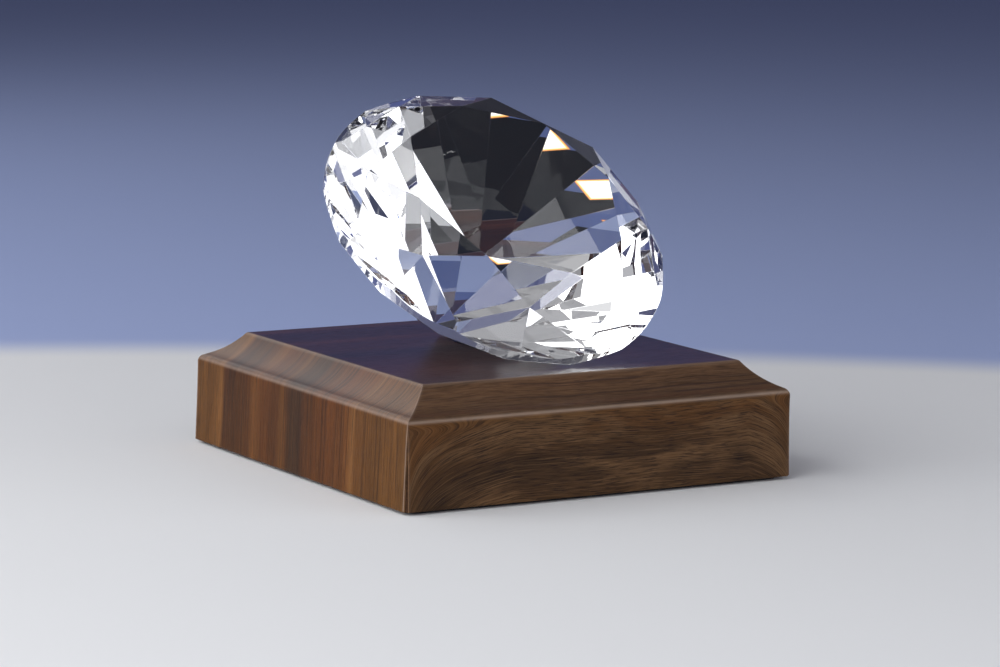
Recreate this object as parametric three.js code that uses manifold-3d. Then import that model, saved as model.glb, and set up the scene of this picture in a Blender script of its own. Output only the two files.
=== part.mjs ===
// Crystal award: a round brilliant-cut crystal, bonded by one of its lower facets to a
// square plinth with coved edges. The plinth is a solid core wrapped in one wood-grain
// sheet that is open along its four upright corners, on a thin self-adhesive pad.
//
// Millimetres, +Z up. The origin is on the surface the award stands on, under the middle
// of the plinth. -Y is the side that the crystal's table leans towards.

import * as THREE from "three";
import { mergeVertices } from "three/addons/utils/BufferGeometryUtils.js";
import Module from "manifold-3d";

const wasm = await Module();
wasm.setup();

// ---------------------------------------------------------------- driving dimensions

// Crystal. Its axis is +Z while it is cut, with the middle of the girdle at zero.
const GEM_DIAMETER = 100;
const GIRDLE_THICKNESS = 3.6; // where the facets meet at the girdle; thinner between
const CROWN_HEIGHT = 13.5; // top edge of the girdle up to the table
const PAVILION_DEPTH = 41.2; // bottom edge of the girdle down to the culet
const TABLE_DIAMETER = 64.4; // corner to corner
const STAR_REACH = 0.585; // part of the way from the table's edge to the girdle
const LOWER_HALF_REACH = 0.75; // part of the way from the girdle to the culet
const KITE_SETBACK = 0.5; // height of the kites' plane above the girdle's top edge
const CROWN_TWIST = THREE.MathUtils.degToRad(3.3); // crown against pavilion
const MAINS = 8; // kites above, mains below; twice as many halves on each side
const ARC_STEPS = 6; // straight steps of the girdle along one half facet

// Seat of the crystal: the middle of the facet it lies on, and where its table leans.
const SEAT_X = -0.7;
const SEAT_Y = -8.9;
const LEAN_HEADING = THREE.MathUtils.degToRad(-87);

// Plinth, measured over its wrap, with heights from its foot.
const FOOT_WIDTH = 122;
const SIDE_DRAFT = 0.8; // how far each side leans in from the foot to the shoulder
const SHOULDER_HEIGHT = 23.5; // lower edge of the cove
const COVE_RUN = 10.4; // from the shoulder in to the top face
const COVE_RISE = 7.9; // from the shoulder up to the top face
const COVE_SAG = 0.8; // depth of the cove's hollow under its chord
const SHOULDER_ROUND = 1.2; // rounding along the shoulder, from the corner to its ends
const RIM_ROUND = 0.4; // rounding around the top face
const CURVE_STEPS = 6;

// Wrap, its corner seams, and the core.
const WRAP_THICKNESS = 0.5;
const GLUE_LINE = 0.15; // between the wrap and the core
const SEAM_FOOT_WIDTH = 1.5; // opening of a seam on each side of its corner, at the foot
const SEAM_DROP = 1.6; // start of a seam, below the shoulder

// Pad and bonds.
const PAD_THICKNESS = 0.9;
const PAD_MARGIN = 2.5; // pad edge inside the foot
const PAD_CORNER_RADIUS = 3;
const PAD_FILM_THICKNESS = 0.1;
const GEM_BOND_THICKNESS = 0.3;
const GEM_BOND_MARGIN = 0.8; // bond edge inside the facet it holds
const SEAT_GAP = 0.3; // free space between the facet and its bond

const CUT_OVERRUN = 1; // how far a cutting solid runs past the face it opens

// ---------------------------------------------------------------- sizes that follow

const GEM_RADIUS = GEM_DIAMETER / 2;
const TABLE_RADIUS = TABLE_DIAMETER / 2;
const GIRDLE_TOP = GIRDLE_THICKNESS / 2;
const TABLE_Z = GIRDLE_TOP + CROWN_HEIGHT;
const CULET_Z = -GIRDLE_TOP - PAVILION_DEPTH;
const MAIN_STEP = (2 * Math.PI) / MAINS;
const HALF_STEP = MAIN_STEP / 2;
const PAVILION_ANGLE = Math.atan2(PAVILION_DEPTH, GEM_RADIUS);
const MAIN_LENGTH = Math.hypot(PAVILION_DEPTH, GEM_RADIUS); // culet to girdle on a main
const FOOT_Z = PAD_THICKNESS + PAD_FILM_THICKNESS;
const SHOULDER_Z = FOOT_Z + SHOULDER_HEIGHT;
const TOP_Z = SHOULDER_Z + COVE_RISE;
const FOOT_HALF = FOOT_WIDTH / 2;
const SHOULDER_HALF = FOOT_HALF - SIDE_DRAFT;
const TOP_HALF = SHOULDER_HALF - COVE_RUN;
const SEAT_Z = TOP_Z + GEM_BOND_THICKNESS + SEAT_GAP;

// ---------------------------------------------------------------- materials

function crystalMaterial() {
  return new THREE.MeshStandardMaterial({
    color: 0xf4f8ff,
    roughness: 0.02,
    metalness: 0,
    transparent: true,
    opacity: 0.35,
  });
}

function clearBondMaterial() {
  return new THREE.MeshStandardMaterial({ color: 0xe9e6da, roughness: 0.15, metalness: 0 });
}

function woodGrainMaterial() {
  return new THREE.MeshStandardMaterial({ color: 0x5a3a24, roughness: 0.25, metalness: 0 });
}

function coreMaterial() {
  return new THREE.MeshStandardMaterial({ color: 0x6b2f17, roughness: 0.8, metalness: 0 });
}

function padMaterial() {
  return new THREE.MeshStandardMaterial({ color: 0x0c0c0d, roughness: 0.95, metalness: 0 });
}

function padFilmMaterial() {
  return new THREE.MeshStandardMaterial({ color: 0xd8d4c8, roughness: 0.4, metalness: 0 });
}

// ---------------------------------------------------------------- solids and booleans

// The solid that a closed geometry bounds, ready to be joined or cut.
function solidFrom(geometry) {
  const shell = geometry.clone();
  shell.deleteAttribute("normal");
  shell.deleteAttribute("uv");
  const merged = mergeVertices(shell);
  return new wasm.Manifold(
    new wasm.Mesh({
      numProp: 3,
      vertProperties: merged.attributes.position.array,
      triVerts: new Uint32Array(merged.index.array),
    }),
  );
}

// The geometry of a solid, with flat faces.
function geometryFrom(solid) {
  const mesh = solid.getMesh();
  const geometry = new THREE.BufferGeometry();
  geometry.setAttribute("position", new THREE.BufferAttribute(mesh.vertProperties, 3));
  geometry.setIndex(new THREE.BufferAttribute(mesh.triVerts, 1));
  const faceted = geometry.toNonIndexed();
  faceted.computeVertexNormals();
  return faceted;
}

// A closed geometry from flat polygons whose corners run anticlockwise seen from outside.
function geometryOfFacets(facets) {
  const positions = [];
  for (const corners of facets) {
    for (let i = 1; i < corners.length - 1; i++) {
      for (const corner of [corners[0], corners[i], corners[i + 1]]) {
        positions.push(corner.x, corner.y, corner.z);
      }
    }
  }
  const geometry = new THREE.BufferGeometry();
  geometry.setAttribute("position", new THREE.Float32BufferAttribute(positions, 3));
  geometry.computeVertexNormals();
  return geometry;
}

function namedMesh(name, geometry, material) {
  const mesh = new THREE.Mesh(geometry, material);
  mesh.name = name;
  return mesh;
}

// ---------------------------------------------------------------- crystal

// A point at a radius and an angle around the crystal's axis.
function polar(radius, angle, z) {
  return new THREE.Vector3(radius * Math.cos(angle), radius * Math.sin(angle), z);
}

// The height at which a plane meets the upright line through a point.
function heightOnPlane(plane, point) {
  const { normal, constant } = plane;
  return -(constant + normal.x * point.x + normal.y * point.y) / normal.z;
}

// Height of the kites' common slope at a radius along the middle of a kite.
function kiteHeight(radius) {
  const rise = CROWN_HEIGHT - KITE_SETBACK;
  return TABLE_Z - (rise * (radius - TABLE_RADIUS)) / (GEM_RADIUS - TABLE_RADIUS);
}

// Meeting points of one eighth of the crown, with the middle of its kite at angle zero.
function crownPoints() {
  const tableEdgeRadius = TABLE_RADIUS * Math.cos(HALF_STEP);
  const starRadius = tableEdgeRadius + STAR_REACH * (GEM_RADIUS - tableEdgeRadius);
  const star = polar(starRadius, HALF_STEP, kiteHeight(starRadius * Math.cos(HALF_STEP)));
  const upperHalf = new THREE.Plane().setFromCoplanarPoints(
    star,
    polar(GEM_RADIUS, 0, GIRDLE_TOP),
    polar(GEM_RADIUS, HALF_STEP, GIRDLE_TOP),
  );
  // On the kite's middle line its slope and the upper half's cross at the kite's tip.
  const atTable = kiteHeight(TABLE_RADIUS) - heightOnPlane(upperHalf, polar(TABLE_RADIUS, 0, 0));
  const atGirdle = kiteHeight(GEM_RADIUS) - heightOnPlane(upperHalf, polar(GEM_RADIUS, 0, 0));
  const tipRadius = THREE.MathUtils.lerp(
    TABLE_RADIUS,
    GEM_RADIUS,
    atTable / (atTable - atGirdle),
  );
  return { starRadius, starZ: star.z, tipRadius, tipZ: kiteHeight(tipRadius), upperHalf };
}

// Meeting points of one eighth of the pavilion, with the middle of its main at angle zero.
function pavilionPoints() {
  const lowerRadius = GEM_RADIUS * (1 - LOWER_HALF_REACH);
  const mainSlope = PAVILION_DEPTH / GEM_RADIUS;
  const lowerZ = CULET_Z + mainSlope * lowerRadius * Math.cos(HALF_STEP);
  const lowerHalf = new THREE.Plane().setFromCoplanarPoints(
    polar(lowerRadius, HALF_STEP, lowerZ),
    polar(GEM_RADIUS, 0, -GIRDLE_TOP),
    polar(GEM_RADIUS, HALF_STEP, -GIRDLE_TOP),
  );
  return { lowerRadius, lowerZ, lowerHalf };
}

// Girdle edge where a half facet's plane cuts the round girdle, from the middle of a main
// to the middle between two mains, at the angles of the first eighth.
function girdleArc(plane) {
  const arc = [];
  for (let step = 0; step <= ARC_STEPS; step++) {
    const point = polar(GEM_RADIUS, (HALF_STEP * step) / ARC_STEPS, 0);
    point.z = heightOnPlane(plane, point);
    arc.push(point);
  }
  return arc;
}

// The whole girdle edge: the arc of one half facet, there and back, around the axis.
function girdleRing(plane, twist) {
  const arc = girdleArc(plane);
  const ring = [];
  for (let half = 0; half < 2 * MAINS; half++) {
    for (let step = 0; step < ARC_STEPS; step++) {
      const mirrored = half % 2 ? ARC_STEPS - step : step;
      const angle = HALF_STEP * (half + step / ARC_STEPS) + twist;
      ring.push(polar(GEM_RADIUS, angle, arc[mirrored].z));
    }
  }
  return ring;
}

// The stretch of a girdle ring under one half facet, both ends included.
function ringStretch(ring, half) {
  const first = half * ARC_STEPS;
  return Array.from({ length: ARC_STEPS + 1 }, (_, i) => ring[(first + i) % ring.length]);
}

function crownFacets(ring) {
  const { starRadius, starZ, tipRadius, tipZ } = crownPoints();
  const table = [];
  const stars = [];
  const tips = [];
  for (let main = 0; main < MAINS; main++) {
    const angle = main * MAIN_STEP + CROWN_TWIST;
    table.push(polar(TABLE_RADIUS, angle, TABLE_Z));
    tips.push(polar(tipRadius, angle, tipZ));
    stars.push(polar(starRadius, angle + HALF_STEP, starZ));
  }
  const facets = [table];
  for (let main = 0; main < MAINS; main++) {
    const next = (main + 1) % MAINS;
    const previous = (main + MAINS - 1) % MAINS;
    facets.push([table[main], stars[main], table[next]]);
    facets.push([table[main], stars[previous], tips[main], stars[main]]);
    facets.push([stars[main], tips[main], ...ringStretch(ring, 2 * main)]);
    facets.push([stars[main], ...ringStretch(ring, 2 * main + 1), tips[next]]);
  }
  return facets;
}

function pavilionFacets(ring) {
  const { lowerRadius, lowerZ } = pavilionPoints();
  const culet = new THREE.Vector3(0, 0, CULET_Z);
  const lowers = Array.from({ length: MAINS }, (_, main) =>
    polar(lowerRadius, main * MAIN_STEP + HALF_STEP, lowerZ),
  );
  const facets = [];
  for (let main = 0; main < MAINS; main++) {
    const previous = (main + MAINS - 1) % MAINS;
    const middle = ring[2 * main * ARC_STEPS];
    facets.push([culet, lowers[main], middle, lowers[previous]]);
    facets.push([lowers[main], ...ringStretch(ring, 2 * main).reverse()]);
    facets.push([lowers[main], ...ringStretch(ring, 2 * main + 1).reverse()]);
  }
  return facets;
}

// The polished band between the two girdle edges, each step of one set against the nearest
// step of the other.
function girdleFacets(upperRing, lowerRing) {
  const count = upperRing.length;
  const shift = Math.round(CROWN_TWIST / (HALF_STEP / ARC_STEPS)) + count;
  const facets = [];
  for (let i = 0; i < count; i++) {
    const upper = [upperRing[i], upperRing[(i + 1) % count]];
    const lower = [lowerRing[(i + shift) % count], lowerRing[(i + shift + 1) % count]];
    facets.push([lower[0], lower[1], upper[1]]);
    facets.push([lower[0], upper[1], upper[0]]);
  }
  return facets;
}

// The crystal, lying on its first pavilion main, with its culet at the group's origin.
function lyingCrystal() {
  const upperRing = girdleRing(crownPoints().upperHalf, CROWN_TWIST);
  const lowerRing = girdleRing(pavilionPoints().lowerHalf, 0);
  const facets = [
    ...crownFacets(upperRing),
    ...girdleFacets(upperRing, lowerRing),
    ...pavilionFacets(lowerRing),
  ];
  const gem = namedMesh("crystal_gem", geometryOfFacets(facets), crystalMaterial());
  gem.position.z = -CULET_Z;
  const lying = new THREE.Group();
  lying.rotation.y = PAVILION_ANGLE;
  lying.add(gem);
  return lying;
}

// The film under the crystal: the outline of the main that it holds, drawn in by a margin.
function gemBond() {
  const { lowerRadius } = pavilionPoints();
  const shoulderX = (lowerRadius * Math.cos(HALF_STEP)) / Math.cos(PAVILION_ANGLE);
  const shoulderY = lowerRadius * Math.sin(HALF_STEP);
  const culetSide = Math.hypot(shoulderX, shoulderY);
  const girdleSide = Math.hypot(MAIN_LENGTH - shoulderX, shoulderY);
  // A kite has an inscribed circle, so scaling it about that centre draws every side in
  // by the same amount.
  const inRadius = (MAIN_LENGTH * shoulderY) / (culetSide + girdleSide);
  const centreX = (inRadius * culetSide) / shoulderY;
  const scale = (inRadius - GEM_BOND_MARGIN) / inRadius;
  const corners = [
    [0, 0],
    [shoulderX, -shoulderY],
    [MAIN_LENGTH, 0],
    [shoulderX, shoulderY],
  ].map(([x, y]) => new THREE.Vector2(centreX + (x - centreX) * scale, y * scale));
  const geometry = new THREE.ExtrudeGeometry(new THREE.Shape(corners), {
    depth: GEM_BOND_THICKNESS,
    bevelEnabled: false,
  });
  return namedMesh("gem_bond", geometry, clearBondMaterial());
}

// ---------------------------------------------------------------- plinth

// The direction into the solid, square to an edge of a section that runs anticlockwise.
function inwardNormal(from, to) {
  const along = to.clone().sub(from).normalize();
  return new THREE.Vector2(-along.y, along.x);
}

// The corner of a section once both of its edges have moved inwards by an inset.
function insetCorner(before, corner, after, inset) {
  const first = inwardNormal(before, corner);
  const second = inwardNormal(corner, after);
  const reach = inset / (1 + first.dot(second));
  return corner.clone().addScaledVector(first.add(second), reach);
}

// The point on the way from one point towards another, at a distance from the first.
function pointTowards(from, to, distance) {
  return from.clone().add(to.clone().sub(from).setLength(distance));
}

// Half section of the plinth at an inset under its outer face, from the axis at its foot to
// the axis at its top: foot, drafted side, shoulder rounding, cove, rim rounding, top face.
function plinthSection(inset, footZ) {
  const outerFoot = new THREE.Vector2(FOOT_HALF, FOOT_Z);
  const outerShoulder = new THREE.Vector2(SHOULDER_HALF, SHOULDER_Z);
  const outerRim = new THREE.Vector2(TOP_HALF, TOP_Z);
  const outerTop = new THREE.Vector2(0, TOP_Z);
  const shoulder = insetCorner(outerFoot, outerShoulder, outerRim, inset);
  const rim = insetCorner(outerShoulder, outerRim, outerTop, inset);
  const lean = SIDE_DRAFT / SHOULDER_HEIGHT;
  const foot = new THREE.Vector2(shoulder.x + lean * (shoulder.y - footZ), footZ);
  const coveStart = pointTowards(shoulder, rim, SHOULDER_ROUND);
  const coveEnd = pointTowards(rim, shoulder, RIM_ROUND);
  const sideEnd = pointTowards(shoulder, foot, SHOULDER_ROUND);
  const topStart = new THREE.Vector2(rim.x - RIM_ROUND, rim.y);
  // The control point of a quadratic curve lies twice as deep as the curve's middle.
  const hollow = coveStart
    .clone()
    .lerp(coveEnd, 0.5)
    .addScaledVector(inwardNormal(shoulder, rim), 2 * COVE_SAG);
  const path = new THREE.Path();
  path.moveTo(0, footZ);
  path.lineTo(foot.x, foot.y);
  path.lineTo(sideEnd.x, sideEnd.y);
  path.quadraticCurveTo(shoulder.x, shoulder.y, coveStart.x, coveStart.y);
  path.quadraticCurveTo(hollow.x, hollow.y, coveEnd.x, coveEnd.y);
  path.quadraticCurveTo(rim.x, rim.y, topStart.x, topStart.y);
  path.lineTo(0, rim.y);
  return path.getPoints(CURVE_STEPS);
}

// A square solid of the plinth's section: a turned form with four sides, set square.
function squareSolid(section) {
  const corners = section.map((p) => new THREE.Vector2(p.x * Math.SQRT2, p.y));
  const geometry = new THREE.LatheGeometry(corners, 4, Math.PI / 4);
  geometry.rotateX(Math.PI / 2);
  return solidFrom(geometry);
}

// A wedge that opens one corner of the wrap: a slim pyramid on the leaning corner edge,
// with its tip under the shoulder and its square foot just past the plinth's foot.
function seamWedge(sideX, sideY) {
  const lean = SIDE_DRAFT / SHOULDER_HEIGHT;
  const tipHeight = SHOULDER_HEIGHT - SEAM_DROP;
  const tipHalf = FOOT_HALF - lean * tipHeight;
  const footHalf = FOOT_HALF + lean * CUT_OVERRUN;
  const reach = (SEAM_FOOT_WIDTH * (tipHeight + CUT_OVERRUN)) / tipHeight;
  const tip = new THREE.Vector3(sideX * tipHalf, sideY * tipHalf, FOOT_Z + tipHeight);
  const base = [0, 1, 2, 3].map((quarter) => {
    const corner = polar(reach * Math.SQRT2, (quarter + 0.5) * (Math.PI / 2), 0);
    return corner.add(
      new THREE.Vector3(sideX * footHalf, sideY * footHalf, FOOT_Z - CUT_OVERRUN),
    );
  });
  const facets = base.map((corner, i) => [corner, base[(i + 1) % base.length], tip]);
  facets.push([...base].reverse());
  return solidFrom(geometryOfFacets(facets));
}

// The wood-grain sheet: one skin over top, coves and sides, open below and at its seams.
function baseWrap() {
  let skin = squareSolid(plinthSection(0, FOOT_Z)).subtract(
    squareSolid(plinthSection(WRAP_THICKNESS, FOOT_Z - CUT_OVERRUN)),
  );
  for (const sideX of [-1, 1]) {
    for (const sideY of [-1, 1]) {
      skin = skin.subtract(seamWedge(sideX, sideY));
    }
  }
  return namedMesh("base_wrap", geometryFrom(skin), woodGrainMaterial());
}

// The core under the wrap, clear of it by the glue line.
function baseCore() {
  const core = squareSolid(plinthSection(WRAP_THICKNESS + GLUE_LINE, FOOT_Z));
  return namedMesh("base_core", geometryFrom(core), coreMaterial());
}

// ---------------------------------------------------------------- pad

// A square with rounded corners, inside the plinth's foot by the pad's margin.
function padOutline() {
  const half = FOOT_HALF - PAD_MARGIN;
  const inner = half - PAD_CORNER_RADIUS;
  const outline = new THREE.Shape();
  outline.absarc(inner, inner, PAD_CORNER_RADIUS, 0, Math.PI / 2);
  outline.absarc(-inner, inner, PAD_CORNER_RADIUS, Math.PI / 2, Math.PI);
  outline.absarc(-inner, -inner, PAD_CORNER_RADIUS, Math.PI, (3 * Math.PI) / 2);
  outline.absarc(inner, -inner, PAD_CORNER_RADIUS, (3 * Math.PI) / 2, 2 * Math.PI);
  return outline;
}

function padLayer(name, thickness, bottomZ, material) {
  const geometry = new THREE.ExtrudeGeometry(padOutline(), {
    depth: thickness,
    bevelEnabled: false,
    curveSegments: CURVE_STEPS,
  });
  const layer = namedMesh(name, geometry, material);
  layer.position.z = bottomZ;
  return layer;
}

// ---------------------------------------------------------------- assembly

function crystalAward() {
  const award = new THREE.Group();
  award.add(padLayer("base_pad", PAD_THICKNESS, 0, padMaterial()));
  award.add(padLayer("pad_adhesive", PAD_FILM_THICKNESS, PAD_THICKNESS, padFilmMaterial()));
  award.add(baseCore());
  award.add(baseWrap());

  const seat = new THREE.Group();
  seat.position.set(SEAT_X, SEAT_Y, 0);
  seat.rotation.z = LEAN_HEADING;
  const bond = gemBond();
  bond.position.set(-MAIN_LENGTH / 2, 0, TOP_Z);
  seat.add(bond);
  const crystal = lyingCrystal();
  crystal.position.set(-MAIN_LENGTH / 2, 0, SEAT_Z);
  seat.add(crystal);
  award.add(seat);
  return award;
}

const group = crystalAward();
export default group;
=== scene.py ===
"""Crystal award: a brilliant-cut optical crystal lying on a wood-grain plinth.

Each sub-assembly is a class that builds its own meshes and dresses them with a
finish. All sizes are in metres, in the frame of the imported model: Z is up, and the
award stands on the plane Z = 0.
"""

import logging
import math
from dataclasses import dataclass, field
from enum import Enum
from typing import Iterable, Sequence, Union

import bmesh
import bpy
from bmesh.types import BMesh
from bpy.types import ColorRamp, Material, Mesh, Node, NodeSocket, Object
from mathutils import Matrix, Vector


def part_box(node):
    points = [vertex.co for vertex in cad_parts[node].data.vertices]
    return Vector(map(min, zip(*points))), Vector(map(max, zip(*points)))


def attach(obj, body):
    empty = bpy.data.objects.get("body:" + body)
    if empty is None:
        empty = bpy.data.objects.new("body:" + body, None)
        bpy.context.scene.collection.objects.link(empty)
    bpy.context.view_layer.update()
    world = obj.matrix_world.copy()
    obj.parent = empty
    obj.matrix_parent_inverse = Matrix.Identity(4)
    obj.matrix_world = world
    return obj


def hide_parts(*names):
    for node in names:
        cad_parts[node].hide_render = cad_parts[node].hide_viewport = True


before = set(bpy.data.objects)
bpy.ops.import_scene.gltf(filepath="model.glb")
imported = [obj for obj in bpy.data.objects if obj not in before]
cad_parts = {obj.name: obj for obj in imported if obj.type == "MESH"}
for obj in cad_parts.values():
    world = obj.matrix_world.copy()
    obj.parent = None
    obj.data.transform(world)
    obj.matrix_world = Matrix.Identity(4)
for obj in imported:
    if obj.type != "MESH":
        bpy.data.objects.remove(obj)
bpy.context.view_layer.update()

LOG = logging.getLogger("crystal_award")
MM = 0.001
MERGE = 0.001 * MM

Colour = tuple[float, float, float]
Stop = tuple[float, Colour]


# ---------------------------------------------------------------- shader expressions


class Field:
    """A node socket that carries one number and can stand in a Python expression."""

    def __init__(self, tree: "ShaderTree", socket: NodeSocket) -> None:
        """Wraps a socket.

        Args:
            tree: The tree that the socket's node is in.
            socket: An output socket.
        """
        self.tree = tree
        self.socket = socket

    def __add__(self, other: "Operand") -> "Field":
        """Sum."""
        return self.tree.math("ADD", self, other)

    def __radd__(self, other: float) -> "Field":
        """Sum with a number on the left."""
        return self.tree.math("ADD", other, self)

    def __sub__(self, other: "Operand") -> "Field":
        """Difference."""
        return self.tree.math("SUBTRACT", self, other)

    def __rsub__(self, other: float) -> "Field":
        """Difference from a number on the left."""
        return self.tree.math("SUBTRACT", other, self)

    def __mul__(self, other: "Operand") -> "Field":
        """Product."""
        return self.tree.math("MULTIPLY", self, other)

    def __rmul__(self, other: float) -> "Field":
        """Product with a number on the left."""
        return self.tree.math("MULTIPLY", other, self)

    def __truediv__(self, other: "Operand") -> "Field":
        """Quotient."""
        return self.tree.math("DIVIDE", self, other)

    def __rtruediv__(self, other: float) -> "Field":
        """Quotient of a number on the left."""
        return self.tree.math("DIVIDE", other, self)

    def __abs__(self) -> "Field":
        """Distance from zero."""
        return self.tree.math("ABSOLUTE", self)

    def at_least(self, floor: "Operand") -> "Field":
        """The larger of this and a floor."""
        return self.tree.math("MAXIMUM", self, floor)

    def at_most(self, ceiling: "Operand") -> "Field":
        """The smaller of this and a ceiling."""
        return self.tree.math("MINIMUM", self, ceiling)

    def root(self) -> "Field":
        """Square root."""
        return self.tree.math("POWER", self, 0.5)

    def log(self) -> "Field":
        """Natural logarithm."""
        return self.tree.math("LOGARITHM", self, math.e)

    def sign(self) -> "Field":
        """Minus one, nought or one."""
        return self.tree.math("SIGN", self)

    def smooth(self, start: float, end: float) -> "Field":
        """A soft step from 0 at start to 1 at end.

        Args:
            start: The value where the step begins.
            end: The value where it is complete.

        Returns:
            The stepped value.
        """
        node = self.tree.node(
            "ShaderNodeMapRange",
            {"interpolation_type": "SMOOTHSTEP"},
            {"Value": self, "From Min": start, "From Max": end},
        )
        return Field(self.tree, node.outputs["Result"])


Operand = Union[Field, float]
Link = Union[Field, NodeSocket, float, Sequence[float]]


class ShaderTree:
    """One material, or world, and its node tree."""

    def __init__(self, name: str, world: bool = False) -> None:
        """Starts a material or world with an empty tree.

        Args:
            name: Its name.
            world: Whether it is a world.
        """
        self.owner = (bpy.data.worlds if world else bpy.data.materials).new(name)
        self.owner.use_nodes = True
        self.nodes = self.owner.node_tree.nodes
        self.nodes.clear()

    def node(self, kind: str, settings: dict, values: dict[str | int, Link]) -> Node:
        """Adds a node, sets its settings, then fills or links its sockets.

        Args:
            kind: The node's type.
            settings: Properties of the node; "stops" fills a colour ramp.
            values: What each input socket holds or is linked to.

        Returns:
            The new node.
        """
        made = self.nodes.new(kind)
        for key, value in settings.items():
            if key == "stops":
                self._fill_ramp(made.color_ramp, value)
            else:
                setattr(made, key, value)
        for key, value in values.items():
            source = value.socket if isinstance(value, Field) else value
            if isinstance(source, NodeSocket):
                self.owner.node_tree.links.new(source, made.inputs[key])
            else:
                made.inputs[key].default_value = source
        return made

    @staticmethod
    def _fill_ramp(ramp: ColorRamp, stops: Sequence[Stop]) -> None:
        """Writes a colour ramp's stops.

        Args:
            ramp: The ramp.
            stops: Places from 0 to 1 and their colours, in order.
        """
        while len(ramp.elements) > 1:
            ramp.elements.remove(ramp.elements[-1])
        ramp.elements[0].position = stops[0][0]
        ramp.elements[0].color = (*stops[0][1], 1.0)
        for place, colour in stops[1:]:
            ramp.elements.new(place).color = (*colour, 1.0)

    def math(self, operation: str, *operands: Operand) -> Field:
        """A Math node on numbers.

        Args:
            operation: The node's operation.
            operands: Its inputs, in order.

        Returns:
            The result.
        """
        made = self.node("ShaderNodeMath", {"operation": operation}, dict(enumerate(operands)))
        return Field(self, made.outputs[0])

    def blend(self, share: Operand, first: Link, second: Link, mode: str = "MIX") -> NodeSocket:
        """Mixes two colours.

        Args:
            share: How much of the second.
            first: The colour at share 0.
            second: The colour at share 1.
            mode: How they are mixed.

        Returns:
            The mixed colour.
        """
        made = self.node(
            "ShaderNodeMix",
            {"data_type": "RGBA", "blend_type": mode},
            {0: share, 6: self._rgba(first), 7: self._rgba(second)},
        )
        return made.outputs[2]

    @staticmethod
    def _rgba(value: Link) -> Link:
        """A plain colour with its alpha, or a link as it is."""
        plain = isinstance(value, (tuple, list)) and len(value) == 3
        return (*value, 1.0) if plain else value

    def tone(self, value: Field) -> NodeSocket:
        """A grey colour of a number's brightness."""
        made = self.node("ShaderNodeCombineXYZ", {}, {0: value, 1: value, 2: value})
        return made.outputs[0]

    def ramp(self, place: Field, stops: Sequence[Stop]) -> NodeSocket:
        """A colour read from a ramp.

        Args:
            place: Where on the ramp, from 0 to 1.
            stops: The ramp's stops.

        Returns:
            The colour.
        """
        return self.node("ShaderNodeValToRGB", {"stops": stops}, {0: place}).outputs[0]

    def attribute(self, name: str) -> Node:
        """A node that reads one of the mesh's own attributes."""
        return self.node("ShaderNodeAttribute", {"attribute_name": name}, {})

    def place(self) -> NodeSocket:
        """The point on the surface, in millimetres."""
        point = self.node("ShaderNodeTexCoord", {}, {}).outputs["Object"]
        return self.scaled(point, (1000.0, 1000.0, 1000.0))

    def scaled(self, vector: NodeSocket, factors: Sequence[float]) -> NodeSocket:
        """A vector multiplied axis by axis.

        Args:
            vector: The vector.
            factors: One factor for each axis.

        Returns:
            The scaled vector.
        """
        settings = {"operation": "MULTIPLY"}
        return self.node("ShaderNodeVectorMath", settings, {0: vector, 1: factors}).outputs[0]

    def axes(self, vector: NodeSocket) -> tuple[Field, Field, Field]:
        """The three numbers of a vector."""
        made = self.node("ShaderNodeSeparateXYZ", {}, {0: vector})
        return tuple(Field(self, out) for out in made.outputs)

    def vector(self, x: Operand, y: Operand, z: Operand = 0.0) -> NodeSocket:
        """A vector of three numbers."""
        return self.node("ShaderNodeCombineXYZ", {}, {0: x, 1: y, 2: z}).outputs[0]

    def noise(self, vector: NodeSocket, scale: float, detail: float = 2.0,
              roughness: float = 0.5, distortion: float = 0.0) -> Field:
        """Soft noise from 0 to 1.

        Args:
            vector: Where it is read.
            scale: How many swells in one unit.
            detail: How many finer layers.
            roughness: How strong the finer layers are.
            distortion: How much it is stirred.

        Returns:
            The noise.
        """
        made = self.node("ShaderNodeTexNoise", {}, {
            "Vector": vector, "Scale": scale, "Detail": detail,
            "Roughness": roughness, "Distortion": distortion,
        })
        return Field(self, made.outputs[0])

    def bump(self, height: Field, strength: float, distance: float) -> NodeSocket:
        """A normal shaken by a height.

        Args:
            height: The height, from 0 to 1.
            strength: The share of the effect.
            distance: The height's full size, in metres.

        Returns:
            The normal.
        """
        made = self.node("ShaderNodeBump", {}, {
            "Height": height, "Strength": strength, "Distance": distance,
        })
        return made.outputs[0]

    def surface(self, values: dict[str, Link]) -> Material:
        """Ends the tree with a Principled surface.

        Args:
            values: What its sockets hold or are linked to.

        Returns:
            The finished material.
        """
        shader = self.node("ShaderNodeBsdfPrincipled", {}, values)
        self.node("ShaderNodeOutputMaterial", {}, {0: shader.outputs[0]})
        return self.owner


# ---------------------------------------------------------------- finishes


@dataclass(frozen=True)
class CrystalFinish:
    """Polished optical crystal: clear and colourless, with finely ground arrises."""

    name: str = "optical_crystal"
    index: float = 1.517
    body: Colour = (0.992, 0.997, 0.995)
    wiped: float = 0.012
    ground: float = 0.22

    def material(self) -> Material:
        """Builds the material.

        Returns:
            Clear glass whose gloss is a little dulled by wiping and on the arrises.
        """
        tree = ShaderTree(self.name)
        arris = Field(tree, tree.attribute("arris").outputs["Fac"])
        film = tree.noise(tree.place(), 0.06, 3.0, 0.6, 0.8).smooth(0.5, 0.72)
        wipes = tree.noise(tree.scaled(tree.place(), (0.1, 0.9, 0.25)), 1.0, 3.0)
        streaks = wipes.smooth(0.55, 0.75)
        return tree.surface({
            "Base Color": (*self.body, 1.0),
            "Roughness": film * streaks * self.wiped + arris * self.ground,
            "Transmission Weight": 1.0,
            "IOR": self.index,
        })


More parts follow.
